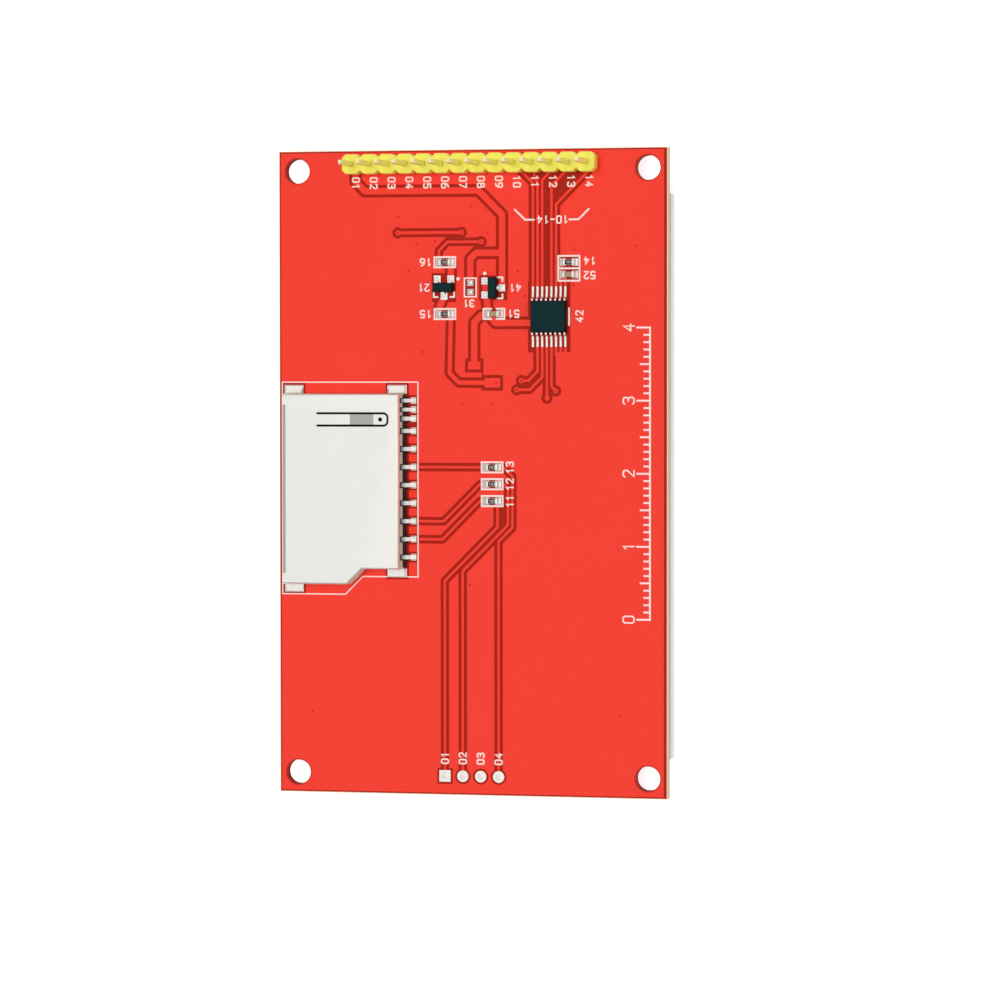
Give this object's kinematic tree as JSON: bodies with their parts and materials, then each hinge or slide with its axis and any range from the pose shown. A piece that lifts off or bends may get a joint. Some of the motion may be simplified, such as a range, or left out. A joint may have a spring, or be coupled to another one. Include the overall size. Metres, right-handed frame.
{
  "type": "tft display module",
  "caption": "Touch display module: a flat display and touch panel on a red circuit board with a pin header and a memory card socket on its rear side.",
  "frame": {"origin": "centre of the board in X and Y, on the touch film's outer face in Z", "axes": "+Z from the display face to the board's rear side, +Y along the board towards the pin header, +X to the right seen from the rear with the header up"},
  "size_m": [0.055, 0.0901, 0.0146],
  "materials": {
    "laminate": "satin",
    "copper_lacquer": "gloss",
    "bare_lacquer": "gloss",
    "print": "matte",
    "tin": "satin",
    "header_plastic": "satin",
    "pin_gold": "polished",
    "shell_steel": "satin",
    "socket_plastic": "matte",
    "contact_metal": "satin",
    "moulded_black": "matte",
    "resistor_body": "gloss",
    "capacitor_body": "matte",
    "foam": "matte",
    "reflector_film": "gloss",
    "clear_plastic": "gloss",
    "led_parts": "satin",
    "diffuser_film": "matte",
    "prism_film": "satin",
    "frame_plastic": "satin",
    "polarizer_film": "gloss",
    "display_glass": "gloss",
    "silicon": "gloss",
    "flex_amber": "satin",
    "border_black": "matte",
    "spacer_grey": "satin",
    "touch_glass": "gloss",
    "touch_film": "gloss"
  },
  "bodies": {
    "root": {"board": "laminate", "rear_copper": "copper_lacquer", "rear_mask": "bare_lacquer", "front_mask": "bare_lacquer", "rear_silkscreen": "print", "rear_pads": "tin", "front_pads": "tin", "header_housing": "header_plastic", "header_pin_1": "pin_gold", "header_pin_2": "pin_gold", "header_pin_3": "pin_gold", "header_pin_4": "pin_gold", "header_pin_5": "pin_gold", "header_pin_6": "pin_gold", "header_pin_7": "pin_gold", "header_pin_8": "pin_gold", "header_pin_9": "pin_gold", "header_pin_10": "pin_gold", "header_pin_11": "pin_gold", "header_pin_12": "pin_gold", "header_pin_13": "pin_gold", "header_pin_14": "pin_gold", "header_solder": "tin", "sd_shell": "shell_steel", "sd_base": "socket_plastic", "sd_contacts": "contact_metal", "sd_switch_contacts": "contact_metal", "touch_controller_body": "moulded_black", "touch_controller_leads": "tin", "regulator_body": "moulded_black", "regulator_leads": "tin", "transistor_body": "moulded_black", "transistor_leads": "tin", "resistor_1": "resistor_body", "resistor_2": "resistor_body", "resistor_3": "resistor_body", "resistor_4": "resistor_body", "resistor_5": "resistor_body", "resistor_6": "resistor_body", "capacitor_1": "capacitor_body", "capacitor_2": "capacitor_body", "mounting_tape": "foam", "reflector_sheet": "reflector_film", "light_guide": "clear_plastic", "led_strip": "led_parts", "diffuser_sheet": "diffuser_film", "prism_sheet": "prism_film", "backlight_frame": "frame_plastic", "rear_polarizer": "polarizer_film", "lcd_rear_glass": "display_glass", "driver_chip": "silicon", "lcd_front_glass": "display_glass", "front_polarizer": "polarizer_film", "lcd_flex_cable": "flex_amber", "touch_tape": "border_black", "touch_glass": "touch_glass", "touch_spacer": "spacer_grey", "touch_film": "touch_film", "touch_flex_tail": "flex_amber"}
  },
  "joints": []
}
